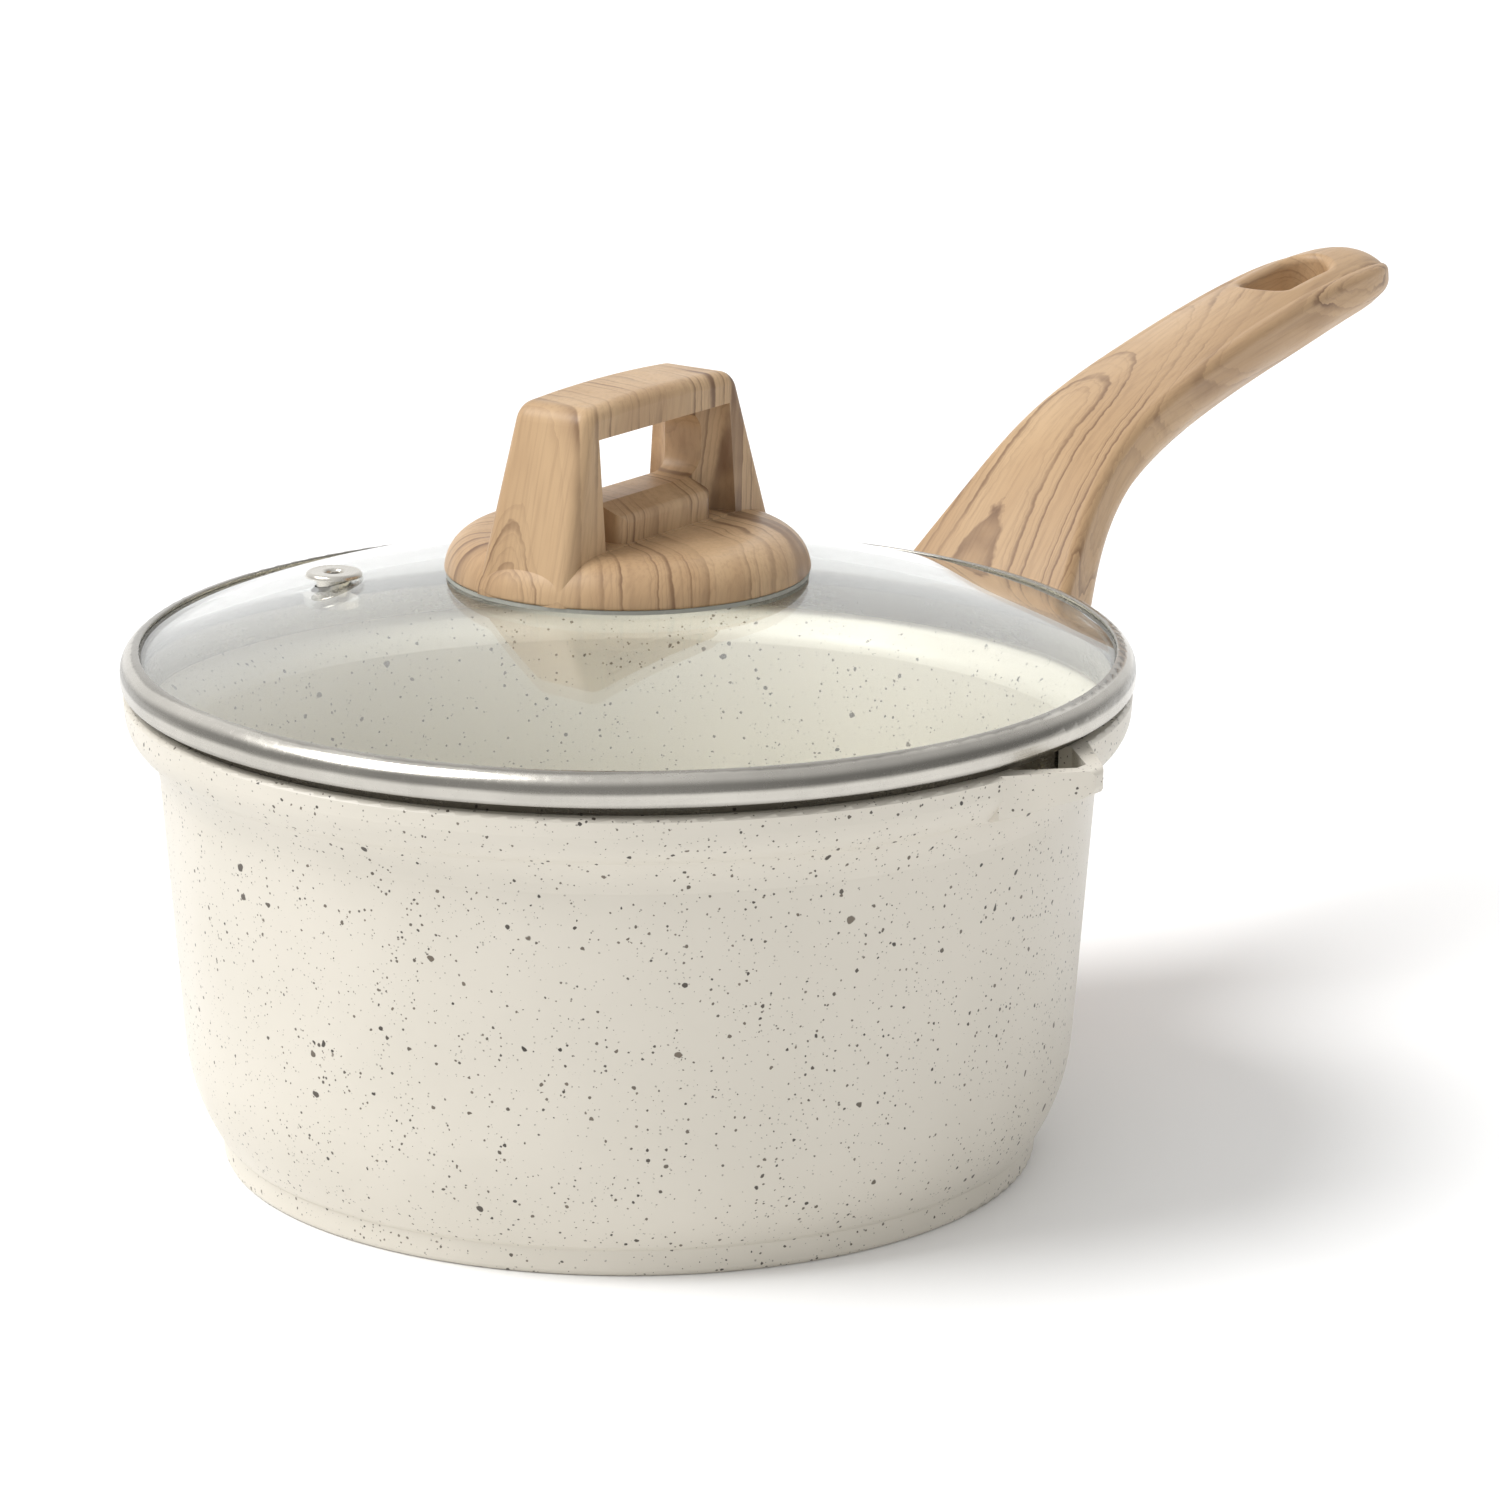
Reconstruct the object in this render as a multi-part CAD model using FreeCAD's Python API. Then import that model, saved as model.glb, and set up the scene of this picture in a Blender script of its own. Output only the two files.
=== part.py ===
import FreeCAD, Part
import math
import os

# Saucepan with a glass lid. Millimetres, +Z up.
# The origin is the centre of the pan's underside; the handle points along +X and the pouring lip along -Y.

V = FreeCAD.Vector
UP = V(0, 0, 1)

# Pan
RIM_Z = 87.0
RIM_OUTER_R = 91.1
RIM_INNER_R = 87.4
RIM_EASE = 0.7
FLOOR_Z = 5.6
BASE_R = 74.6
LIP_TIP_R = 100.8
LIP_HALF_WIDTH = 14.0
LIP_LOW_Z = 83.4
LIP_ROOT_R = 84.0
LIP_ROOT_Z = 78.6
LIP_BLUNT = 1.4
CHANNEL_TIP_R = 97.2
CHANNEL_HALF_WIDTH = 9.0
CHANNEL_LOW_Z = 79.7
CHANNEL_END_Z = 85.2

# Outline steps of the wall, (r, z): the outside from foot to rim, and the inside from rim to floor
WALL_OUTSIDE = [(75.5, 5.6), ((79.0, 12.6), (81.2, 22.5)), (84.9, 72.0), ((85.9, 75.4), (87.7, 78.1)),
                ((90.0, 80.6), (90.95, 83.6)), (RIM_OUTER_R, RIM_Z - RIM_EASE)]
WALL_INSIDE = [(87.3, 81.8), ((86.9, 80.5), (86.0, 79.6)), (83.9, 77.7), ((82.8, 76.5), (82.2, 74.9)),
               (78.1, 25.0), ((73.8, 11.2), (62.0, FLOOR_Z))]

# Steel disc set into the underside for induction hobs
DISC_R = 62.0
DISC_THICK = 1.2
DISC_HOLE_R = 2.2

# Boss cast on the wall, the handle's socket round it, and its screw
BOSS_START_X = 81.0
BOSS_END_X = 106.0
BOSS_HALF_WIDTH = 11.0
BOSS_LOW_Z = 42.0
BOSS_HIGH_Z = 57.0
SOCKET_GAP = 0.2
HANDLE_SCREW_X = 97.0
HANDLE_SCREW_R = 2.45
HANDLE_SCREW_SEAT_Z = 39.0
HANDLE_HEAD_R = 4.3
HANDLE_HEAD_H = 2.9
COUNTERBORE_R = 5.4

# Handle: hang hole
HANG_HOLE_START_X = 217.0
HANG_HOLE_END_X = 241.5
HANG_HOLE_HALF_WIDTH = 5.2

# Lid glass: a shallow dome, part of a sphere
DOME_R = 255.0
GLASS_THICK = 4.0
GLASS_EDGE_R = 89.3
GLASS_TOP_Z = 109.6
DOME_CENTRE_Z = GLASS_TOP_Z - DOME_R
GLASS_HOLE_R = 4.0
BAND_THICK = 0.5
SEAT_Z = RIM_Z + 0.06

# Steam vent
VENT_X = -25.7
VENT_Y = 47.3
VENT_FLANGE_R = 5.2
VENT_TUBE_R = 3.2
VENT_BORE_R = 1.6
VENT_SHEET = 0.6

# Knob
KNOB_BASE_R = 33.0
KNOB_PLATEAU_Z = 116.3
KNOB_TOP_Z = 142.4
KNOB_TOP_HALF_LENGTH = 22.3
KNOB_FOOT_HALF_LENGTH = 33.3
KNOB_TOP_HALF_WIDTH = 8.0
KNOB_FOOT_HALF_WIDTH = 10.6
KNOB_FOOT_Z = 105.0
KNOB_CROWN_R = 300.0
WEB_HALF_THICK = 3.7
WINDOW_HALF_LENGTH = 16.9
WINDOW_LOW_Z = 123.0
WINDOW_HIGH_Z = 134.9
SCOOP_HALF_LENGTH = 19.6
SCOOP_HIGH_Z = 136.2
SILL_LOW_Z = 121.0
SILL_HALF_LENGTH = 13.6
SILL_SECTION = [(0, 110), (9.2, 110), (9.0, SILL_LOW_Z), (0, 124.4)]
GASKET_THICK = 0.75
GASKET_INNER_R = 26.0
KNOB_SCREW_R = 1.95
KNOB_INSERT_R = 4.0
KNOB_INSERT_TOP_Z = 121.0
KNOB_WASHER_R = 12.0
KNOB_HEAD_R = 4.0


def outline(start, *steps):
    """Closed wire in the XZ plane. A step is a point (r, z), or a pair (middle, end) for an arc."""
    edges = []
    here = V(start[0], 0, start[1])
    for step in steps + (start,):
        if isinstance(step[0], tuple):
            middle = V(step[0][0], 0, step[0][1])
            there = V(step[1][0], 0, step[1][1])
            edges.append(Part.Arc(here, middle, there).toShape())
        else:
            there = V(step[0], 0, step[1])
            if there.distanceToPoint(here) < 1e-6:
                continue
            edges.append(Part.LineSegment(here, there).toShape())
        here = there
    return Part.Wire(edges)


def turned(start, *steps):
    """Solid of revolution about Z from a closed outline of (r, z) points."""
    return Part.Face(outline(start, *steps)).revolve(V(0, 0, 0), UP, 360)


def block(x0, x1, y0, y1, z0, z1):
    return Part.makeBox(x1 - x0, y1 - y0, z1 - z0, V(x0, y0, z0))


def rod(radius, z0, z1, x=0.0, y=0.0):
    return Part.makeCylinder(radius, z1 - z0, V(x, y, z0))


def tube(outer, inner, z0, z1, x=0.0, y=0.0):
    return rod(outer, z0, z1, x, y).cut(rod(inner, z0 - 1, z1 + 1, x, y))


def slab(points, half_width):
    """Side outline of (x, z) points, carried half_width each way along Y."""
    corners = [V(x, -half_width, z) for x, z in points]
    face = Part.Face(Part.makePolygon(corners + corners[:1]))
    return face.extrude(V(0, 2 * half_width, 0))


def rounded(shape, radius, wanted):
    """Fillet the edges for which wanted(edge) is true."""
    return shape.makeFillet(radius, [edge for edge in shape.Edges if wanted(edge)])


def dome_z(r, below=0.0):
    """Height of the dome's top at radius r, or of the surface that lies below it by the given depth."""
    return DOME_CENTRE_Z + math.sqrt((DOME_R - below) ** 2 - r ** 2)


def dome_ball(above=0.0):
    """Ball whose top is the dome's surface, raised by the given height."""
    return Part.makeSphere(DOME_R + above, V(0, 0, DOME_CENTRE_Z))


def moved_out(steps, grow):
    """Outline steps with every point moved outward by the same amount."""
    result = []
    for step in steps:
        if isinstance(step[0], tuple):
            result.append(tuple((r + grow, z) for r, z in step))
        else:
            result.append((step[0] + grow, step[1]))
    return result


def pan_outside(grow):
    """Everything inside the pan's outer wall, for cutting the handle's root to it."""
    return turned((0, 1), (BASE_R + grow, 1), *moved_out(WALL_OUTSIDE, grow), (0, RIM_Z - RIM_EASE))


def pan_shell():
    """Cast bowl: base ring, rounded shoulder, slightly flared wall and the wider stepped rim."""
    return turned(
        (0, DISC_THICK), (DISC_R + 0.2, DISC_THICK), (DISC_R + 0.2, 0), (BASE_R - 1.8, 0),
        ((BASE_R - 0.3, 0.4), (BASE_R, 1.4)), (BASE_R + 0.2, 4.9), *WALL_OUTSIDE,
        ((RIM_OUTER_R - 0.2, RIM_Z - 0.2), (RIM_OUTER_R - RIM_EASE, RIM_Z)),
        (RIM_INNER_R + RIM_EASE, RIM_Z),
        ((RIM_INNER_R + 0.2, RIM_Z - 0.2), (RIM_INNER_R, RIM_Z - RIM_EASE)), *WALL_INSIDE, (0, FLOOR_Z))


def lip_wedge(tip, side, side_points):
    """Wedge that narrows from the rim to the tip of the lip, cut to its side profile's points."""
    start = RIM_OUTER_R - 1.6
    plan = [(-side, -LIP_ROOT_R), (side, -LIP_ROOT_R), (side, -start),
            (LIP_BLUNT, -tip), (-LIP_BLUNT, -tip), (-side, -start)]
    corners = [V(x, y, 70) for x, y in plan]
    upright = slab(side_points, side + 1)
    upright.rotate(V(0, 0, 0), UP, -90)
    return Part.Face(Part.makePolygon(corners + corners[:1])).extrude(V(0, 0, 25)).common(upright)


def pouring_lip():
    """Pointed spout outside the rim, before its channel is cut."""
    lip = lip_wedge(LIP_TIP_R, LIP_HALF_WIDTH,
                    [(LIP_ROOT_R, RIM_Z), (LIP_TIP_R, RIM_Z), (LIP_TIP_R, LIP_LOW_Z),
                     (LIP_TIP_R - 1.4, LIP_LOW_Z - 1.2), (88, LIP_ROOT_Z), (LIP_ROOT_R, LIP_ROOT_Z)])
    lip = rounded(lip, 1.1, is_lip_tip)
    hollow = turned((0, 60), (RIM_INNER_R - 0.4, 60), (RIM_INNER_R - 0.2, 95), (0, 95))
    return lip.cut(hollow.common(block(-120, 120, -120, 120, LIP_ROOT_Z + 1.2, 95)))


def is_lip_tip(edge):
    """True for the edges round the lip's blunt tip."""
    middle = edge.CenterOfMass
    return middle.y < 1.2 - LIP_TIP_R and middle.z > LIP_LOW_Z - 0.6


def pouring_channel():
    """Sloping groove from the inside of the rim to the lip's tip."""
    return lip_wedge(CHANNEL_TIP_R, CHANNEL_HALF_WIDTH,
                     [(80, 95), (LIP_TIP_R, 95), (LIP_TIP_R, CHANNEL_END_Z), (87, CHANNEL_LOW_Z),
                      (80, CHANNEL_LOW_Z)])


def pan_body():
    """Cast pan with the boss that carries the handle and the pouring lip."""
    boss = block(BOSS_START_X, BOSS_END_X, -BOSS_HALF_WIDTH, BOSS_HALF_WIDTH, BOSS_LOW_Z, BOSS_HIGH_Z)
    boss = rounded(boss, 2.5, lambda edge: edge.Curve.Direction.x ** 2 > 0.9)
    thread = rod(HANDLE_SCREW_R + 0.05, BOSS_LOW_Z - 1, BOSS_HIGH_Z - 3, HANDLE_SCREW_X)
    body = pan_shell().fuse(boss).fuse(pouring_lip())
    return body.cut(pouring_channel()).cut(thread).removeSplitter()


def induction_disc():
    """Thin steel disc with rings of small holes, flush with the pan's resting face."""
    disc = rod(DISC_R, 0, DISC_THICK)
    holes = []
    for ring, radius in enumerate((14.0, 28.0, 42.0, 55.0)):
        count = 6 * (ring + 1)
        for index in range(count):
            angle = 2 * math.pi * index / count
            x = radius * math.cos(angle)
            y = radius * math.sin(angle)
            holes.append(rod(DISC_HOLE_R, -1, DISC_THICK + 1, x, y))
    return disc.cut(Part.makeCompound(holes))


# Grip stations from the pan's wall to the tip:
# top ridge (x, z), underside (x, z), half width, and how far the top is crowned above its ridges.
GRIP_STATIONS = [
    ((79.0, 57.7), (79.0, 30.0), 27.3, 1.5),
    ((91.0, 61.9), (98.0, 34.0), 26.0, 1.4),
    ((104.0, 72.9), (116.0, 45.6), 23.2, 1.0),
    ((117.0, 84.9), (129.0, 62.6), 19.5, 0.7),
    ((130.0, 96.3), (139.0, 80.2), 15.8, 0.5),
    ((145.0, 106.4), (150.5, 91.4), 13.6, 0.5),
    ((162.0, 112.9), (165.5, 98.9), 12.9, 0.6),
    ((182.0, 117.7), (184.0, 104.2), 12.4, 0.9),
    ((204.0, 121.9), (205.2, 108.5), 12.1, 1.5),
    ((226.5, 125.1), (227.0, 112.3), 11.9, 2.2),
    ((245.5, 126.3), (245.5, 115.5), 11.4, 2.6),
    ((255.5, 125.8), (255.5, 116.9), 9.4, 2.4),
    ((261.2, 123.9), (261.2, 119.0), 5.2, 1.2),
]


def grip_section(top, under, half_width, crown):
    """Closed section of the grip: crowned top, upright flanks and bevels down to a narrower underside."""
    depth = math.hypot(under[0] - top[0], under[1] - top[1])
    down = V(under[0] - top[0], 0, under[1] - top[1]) / depth
    origin = V(top[0], 0, top[1])

    def at(side, drop):
        return origin + V(0, side, 0) + down * drop

    corners = [at(half_width, 0), at(half_width + 0.4, 0.55 * depth), at(0.6 * half_width, depth),
               at(-0.6 * half_width, depth), at(-half_width - 0.4, 0.55 * depth), at(-half_width, 0)]
    ease = min(2.6, 0.2 * depth)
    starts = []
    ends = []
    for index, corner in enumerate(corners):
        before = corners[index - 1]
        after = corners[(index + 1) % len(corners)]
        starts.append(corner + (before - corner).normalize() * ease)
        ends.append(corner + (after - corner).normalize() * ease)
    edges = []
    for index, corner in enumerate(corners):
        middle = (starts[index] + corner * 2 + ends[index]) / 4
        edges.append(Part.Arc(starts[index], middle, ends[index]).toShape())
        following = starts[(index + 1) % len(corners)]
        if index == len(corners) - 1:
            edges.append(Part.Arc(ends[index], at(0, -crown), following).toShape())
        else:
            edges.append(Part.LineSegment(ends[index], following).toShape())
    return Part.Wire(edges)


def hang_hole():
    """Oblong hole through the grip's end."""
    middle_start = HANG_HOLE_START_X + HANG_HOLE_HALF_WIDTH
    middle_end = HANG_HOLE_END_X - HANG_HOLE_HALF_WIDTH
    slot = block(middle_start, middle_end, -HANG_HOLE_HALF_WIDTH, HANG_HOLE_HALF_WIDTH, 100, 140)
    for x in (middle_start, middle_end):
        slot = slot.fuse(rod(HANG_HOLE_HALF_WIDTH, 100, 140, x))
    return slot.removeSplitter()


def handle_grip():
    """Curved grip with the socket for the boss, the screw's bore and the hang hole."""
    sections = [grip_section(*station) for station in GRIP_STATIONS]
    body = Part.makeLoft(sections, True, False, False, 5)
    body = body.cut(pan_outside(0.12)).cut(hang_hole())
    body = rounded(body, 1.6, on_hang_hole_rim)
    half_width = BOSS_HALF_WIDTH + SOCKET_GAP
    socket = block(BOSS_START_X - 5, BOSS_END_X + 0.5, -half_width, half_width,
                   BOSS_LOW_Z - SOCKET_GAP, BOSS_HIGH_Z + SOCKET_GAP)
    bore = rod(HANDLE_SCREW_R + 0.35, HANDLE_SCREW_SEAT_Z - 1, BOSS_LOW_Z + 1, HANDLE_SCREW_X)
    counterbore = rod(COUNTERBORE_R, 10, HANDLE_SCREW_SEAT_Z, HANDLE_SCREW_X)
    return body.cut(socket).cut(bore).cut(counterbore)


def on_hang_hole_rim(edge):
    """True for the edges where the hang hole meets the grip's top and underside."""
    middle = edge.CenterOfMass
    inside_length = HANG_HOLE_START_X - 0.5 < middle.x < HANG_HOLE_END_X + 0.5
    upright = edge.BoundBox.XLength < 0.01 and edge.BoundBox.YLength < 0.01
    return inside_length and abs(middle.y) < HANG_HOLE_HALF_WIDTH + 0.5 and not upright


def handle_screw():
    """Pan-head screw with a cross recess, driven up into the boss."""
    head_low = HANDLE_SCREW_SEAT_Z - 2.0 - HANDLE_HEAD_H
    head = rod(HANDLE_HEAD_R, head_low, head_low + HANDLE_HEAD_H, HANDLE_SCREW_X)
    head = rounded(head, 1.2, lambda edge: edge.BoundBox.ZMax < head_low + 0.1)
    shank = rod(HANDLE_SCREW_R, head_low + HANDLE_HEAD_H - 0.5, BOSS_HIGH_Z - 5, HANDLE_SCREW_X)
    return cross_recess(head.fuse(shank), HANDLE_SCREW_X, head_low, 1.6, 2.4)


def cross_recess(screw, x, head_low, depth, half_length):
    """Cut two crossed slots into a screw head's lower face."""
    for size_x, size_y in ((half_length, 0.55), (0.55, half_length)):
        screw = screw.cut(block(x - size_x, x + size_x, -size_y, size_y, head_low - 1, head_low + depth))
    return screw


def handle_washer():
    """Flat washer between the grip's counterbore and the split ring."""
    low = HANDLE_SCREW_SEAT_Z - 1.0
    return tube(COUNTERBORE_R - 0.3, HANDLE_SCREW_R + 0.2, low, HANDLE_SCREW_SEAT_Z, HANDLE_SCREW_X)


def handle_spring_washer():
    """Split ring between the flat washer and the screw's head."""
    top = HANDLE_SCREW_SEAT_Z - 1.0
    ring = tube(HANDLE_HEAD_R - 0.1, HANDLE_SCREW_R + 0.1, top - 1.0, top, HANDLE_SCREW_X)
    return ring.cut(block(HANDLE_SCREW_X, HANDLE_SCREW_X + 10, -0.35, 0.35, top - 2, top + 1))


def lid_glass():
    """Tempered dome with a hole for the knob's screw and one for the steam vent."""
    dome = dome_ball().cut(dome_ball(-GLASS_THICK))
    dome = dome.common(rod(GLASS_EDGE_R, 60, 130))
    dome = dome.cut(rod(GLASS_HOLE_R, 60, 130))
    return dome.cut(rod(VENT_TUBE_R + 0.3, 60, 130, VENT_X, VENT_Y))


def lid_band():
    """Rolled steel rim: a lip over the glass, an outer bead, the seat on the pan and the skirt inside it."""
    return turned(
        (88.25, dome_z(88.25) + 0.06), (89.4, dome_z(89.4) + 0.06), (90.95, 91.8), (91.05, 90.9),
        (91.05, 89.7),
        (90.8, 89.4), (89.2, 88.9), (88.6, SEAT_Z + BAND_THICK), (86.45, SEAT_Z + BAND_THICK), (86.2, 82.2),
        (86.35, 81.8), (86.7, 81.8), (86.95, SEAT_Z), (88.8, SEAT_Z), (89.5, 88.5), (91.0, 88.8),
        ((91.45, 89.0), (91.6, 89.5)), (91.6, 90.6), ((91.3, 92.5), (90.0, 94.05)),
        ((89.2, 94.55), (88.4, 94.65)), ((88.2, 94.55), (88.15, 94.3)))


def lid_seal():
    """Ring between the glass's edge and the band."""
    inner = GLASS_EDGE_R + 0.05
    ring = turned((87.2, SEAT_Z + 0.56), (88.5, SEAT_Z + 0.56), (89.15, 88.96), (90.75, 89.46),
                  (90.98, 89.75), (90.98, 91.3), (90.5, 92.0), (inner, 92.0), (inner, 89.4),
                  (88.6, 89.5), (87.2, 89.9))
    return ring.cut(lid_glass())


def at_vent(shape):
    """Move a shape from the Z axis to the steam vent."""
    shape.translate(V(VENT_X, VENT_Y, 0))
    return shape


def vent_eyelet():
    """Steel grommet: a domed flange over the glass and a tube through it."""
    top = dome_z(math.hypot(VENT_X, VENT_Y)) + 1.2
    low = top - GLASS_THICK - 3.1
    return at_vent(turned(
        (VENT_BORE_R, low), (VENT_TUBE_R, low), (VENT_TUBE_R, top), (VENT_FLANGE_R, top),
        ((VENT_FLANGE_R - 0.2, top + VENT_SHEET), (VENT_FLANGE_R - 1.2, top + VENT_SHEET + 0.25)),
        (VENT_BORE_R + 0.8, top + VENT_SHEET + 0.25),
        ((VENT_BORE_R + 0.2, top + VENT_SHEET), (VENT_BORE_R, top))))


def vent_ring():
    """Ring pressed on the grommet's tube under the glass."""
    top = dome_z(math.hypot(VENT_X, VENT_Y), GLASS_THICK) - 1.2
    return tube(VENT_FLANGE_R - 0.3, VENT_TUBE_R + 0.02, top - 1.2, top, VENT_X, VENT_Y)


def knob_base():
    """Round foot of the knob: upright edge, rounded shoulder and a nearly flat top."""
    return turned((0, 100), (KNOB_BASE_R - 0.5, 100), (KNOB_BASE_R - 0.4, 108.3),
                  ((KNOB_BASE_R - 0.1, 108.5), (KNOB_BASE_R, 109.0)),
                  ((31.6, 112.7), (26.8, 115.7)), (24.5, 116.0), (0, KNOB_PLATEAU_Z))


def knob_arch():
    """Grip of the knob: a tapered block, crowned along its length, with its edges rounded."""
    wires = []
    for z, length, width in ((KNOB_FOOT_Z, KNOB_FOOT_HALF_LENGTH, KNOB_FOOT_HALF_WIDTH),
                             (KNOB_TOP_Z + 1, KNOB_TOP_HALF_LENGTH - 0.3, KNOB_TOP_HALF_WIDTH - 0.05)):
        corners = [V(sx * length, sy * width, z) for sx, sy in ((-1, -1), (1, -1), (1, 1), (-1, 1))]
        wires.append(Part.makePolygon(corners + corners[:1]))
    grip = Part.makeLoft(wires, True, True)
    crown = Part.makeCylinder(KNOB_CROWN_R, 60, V(0, -30, KNOB_TOP_Z - KNOB_CROWN_R), V(0, 1, 0))
    grip = grip.common(crown)
    top_low = KNOB_TOP_Z - 2
    grip = rounded(grip, 4.2, lambda edge: edge.BoundBox.XLength < 1 and edge.BoundBox.ZMin > top_low)
    return rounded(grip, 2.6, lambda edge: is_long_ridge(edge, top_low) or is_corner(edge))


def is_long_ridge(edge, low):
    """True for the knob's upper long edges."""
    return edge.BoundBox.XLength > 20 and edge.BoundBox.ZMin > low - 4


def is_corner(edge):
    """True for the knob's four upright corners."""
    return edge.BoundBox.ZLength > 15


def knob_scoop(side):
    """Finger scoop in one long face, down to the web that the window goes through."""
    high = block(-SCOOP_HALF_LENGTH, SCOOP_HALF_LENGTH, WEB_HALF_THICK, 20, KNOB_PLATEAU_Z, SCOOP_HIGH_Z)
    high = rounded(high, 4.4, lambda edge: edge.BoundBox.ZLength > 10 and edge.CenterOfMass.y < 5)
    section = [V(-SILL_HALF_LENGTH, y, z) for y, z in SILL_SECTION]
    sill = Part.Face(Part.makePolygon(section + section[:1])).extrude(V(2 * SILL_HALF_LENGTH, 0, 0))
    sill = rounded(sill, 1.8, lambda edge: edge.CenterOfMass.y > 8.9 and edge.CenterOfMass.z > 112)
    scoop = high.cut(sill)
    if side < 0:
        scoop = scoop.mirror(V(0, 0, 0), V(0, 1, 0))
    return scoop


def knob_window():
    """Finger window through the knob's web."""
    window = block(-WINDOW_HALF_LENGTH, WINDOW_HALF_LENGTH, -20, 20, WINDOW_LOW_Z, WINDOW_HIGH_Z)
    return rounded(window, 4.0, lambda edge: edge.BoundBox.YLength > 10)


def knob():
    """Round base and windowed grip in one moulding, hollowed to the dome and bored for its bush."""
    body = knob_arch()
    for side in (-1, 1):
        body = body.cut(knob_scoop(side))
    body = body.cut(knob_window())
    body = body.fuse(knob_base()).common(rod(KNOB_BASE_R, 100, 150))
    body = body.cut(dome_ball(GASKET_THICK + 0.05))
    insert = rod(KNOB_INSERT_R, 100, KNOB_INSERT_TOP_Z)
    return body.cut(insert).removeSplitter()


def knob_gasket():
    """Silicone ring between the knob's edge and the glass, following the dome."""
    ring = dome_ball(GASKET_THICK).cut(dome_ball(0.03))
    return ring.common(tube(KNOB_BASE_R - 0.25, GASKET_INNER_R, 90, 120))


def knob_insert():
    """Threaded brass bush moulded into the knob."""
    low = GLASS_TOP_Z + 1.0
    return tube(KNOB_INSERT_R - 0.02, KNOB_SCREW_R + 0.05, low, KNOB_INSERT_TOP_Z - 0.1)


def knob_under_gasket():
    """Silicone ring under the glass."""
    top = dome_z(KNOB_WASHER_R, GLASS_THICK) - 0.05
    return tube(KNOB_WASHER_R, GLASS_HOLE_R, top - 0.9, top)


def knob_washer():
    """Dished steel washer that spreads the screw's load under the glass."""
    top = dome_z(KNOB_WASHER_R, GLASS_THICK) - 0.98
    return turned((KNOB_SCREW_R + 0.15, top - 0.8), (KNOB_WASHER_R - 1.6, top - 0.8),
                  (KNOB_WASHER_R - 0.9, top - 1.4), (KNOB_WASHER_R - 0.3, top - 1.2),
                  (KNOB_WASHER_R - 0.6, top), (KNOB_SCREW_R + 0.15, top))


def knob_screw():
    """Pan-head screw from under the lid up into the brass bush."""
    seat = dome_z(KNOB_WASHER_R, GLASS_THICK) - 1.8
    head_low = seat - 2.6
    head = rod(KNOB_HEAD_R, head_low, seat)
    head = rounded(head, 1.1, lambda edge: edge.BoundBox.ZMax < head_low + 0.1)
    shank = rod(KNOB_SCREW_R, seat - 0.5, KNOB_INSERT_TOP_Z - 2)
    return cross_recess(head.fuse(shank), 0.0, head_low, 1.5, 2.2)


PARTS = [pan_body, induction_disc, handle_grip, handle_screw, handle_washer, handle_spring_washer,
         lid_glass, lid_band, lid_seal, vent_eyelet, vent_ring,
         knob, knob_gasket, knob_insert, knob_under_gasket, knob_washer, knob_screw]

os.makedirs("parts", exist_ok=True)
for make in PARTS:
    shape = make()
    solids = shape.Solids
    print(make.__name__, "solids", len(solids), "valid", shape.isValid(), "mm3", round(shape.Volume))
    if len(solids) == 1:
        shape = solids[0]
    shape.exportStep("parts/" + make.__name__ + ".step")
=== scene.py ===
"""Looks of a saucepan with a glass lid: coated bowl, wood-print grip and knob, glass, steel, stage."""

import math

import bpy
from bpy.props import FloatProperty, FloatVectorProperty, PointerProperty
from mathutils import Matrix, Vector

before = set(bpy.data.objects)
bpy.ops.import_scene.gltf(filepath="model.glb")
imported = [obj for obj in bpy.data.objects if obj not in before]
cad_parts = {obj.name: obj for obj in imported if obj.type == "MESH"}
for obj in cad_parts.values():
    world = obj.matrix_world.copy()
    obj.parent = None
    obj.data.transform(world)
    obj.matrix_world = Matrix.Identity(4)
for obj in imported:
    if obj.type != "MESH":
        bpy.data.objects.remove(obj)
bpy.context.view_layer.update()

bl_info = {
    "name": "Saucepan with glass lid",
    "version": (1, 0, 0),
    "blender": (4, 5, 0),
    "location": "3D View > Sidebar > Saucepan",
    "description": "Builds the finish of each piece of a saucepan around its CAD model",
    "category": "Object",
}

# The grip's centre line: how it slopes, and where it bends upwards (metres)
GRIP_SLOPE = 0.154
GRIP_BEND_START = 0.072
GRIP_BEND_END = 0.164
GRIP_BEND_RISE = 0.0449

# Height of the steel band's roll (metres)
BAND_LOW = 0.0888
BAND_HIGH = 0.0946

# Centres of the growth rings in the printed grain (metres), with their tilt in radians
GRIP_GRAIN_CENTRE = (0.10, 0.003, 0.036)
GRIP_GRAIN_TURN = (0.0, 0.0, 0.03)
KNOB_GRAIN_CENTRE = (-0.042, 0.004, 0.120)
KNOB_GRAIN_TURN = (0.0, -1.27, 0.0)

# Specks of the coating, from large to small: cell, radius (in cells), share filled, softness, strength
SPECK_SIZES = (
    (0.0054, 0.165, 0.85, 0.22, 0.98),
    (0.0021, 0.240, 0.95, 0.28, 0.96),
    (0.0012, 0.290, 1.00, 0.36, 0.92),
    (0.0009, 0.300, 1.00, 0.55, 0.55),
)

# Metals and rubbers (linear colour), with the painted shade for the dark bands of the lid band's roll
DISC_STEEL = (0.60, 0.59, 0.57)
SCREW_STEEL = (0.58, 0.57, 0.56)
BRASS = (0.72, 0.52, 0.24)
BLACK_RING_COLOUR = (0.035, 0.032, 0.028)
CLEAR_SILICONE = (0.36, 0.36, 0.32)
ROLL_SHADOW = (0.06, 0.055, 0.045)

# Lamp: how far it stands to the left, towards the camera and up, and how wide it looks
KEY_LEFT = 1.1
KEY_NEAR = 0.2
KEY_HIGH = 1.55
KEY_SPREAD = math.radians(34.0)

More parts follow.
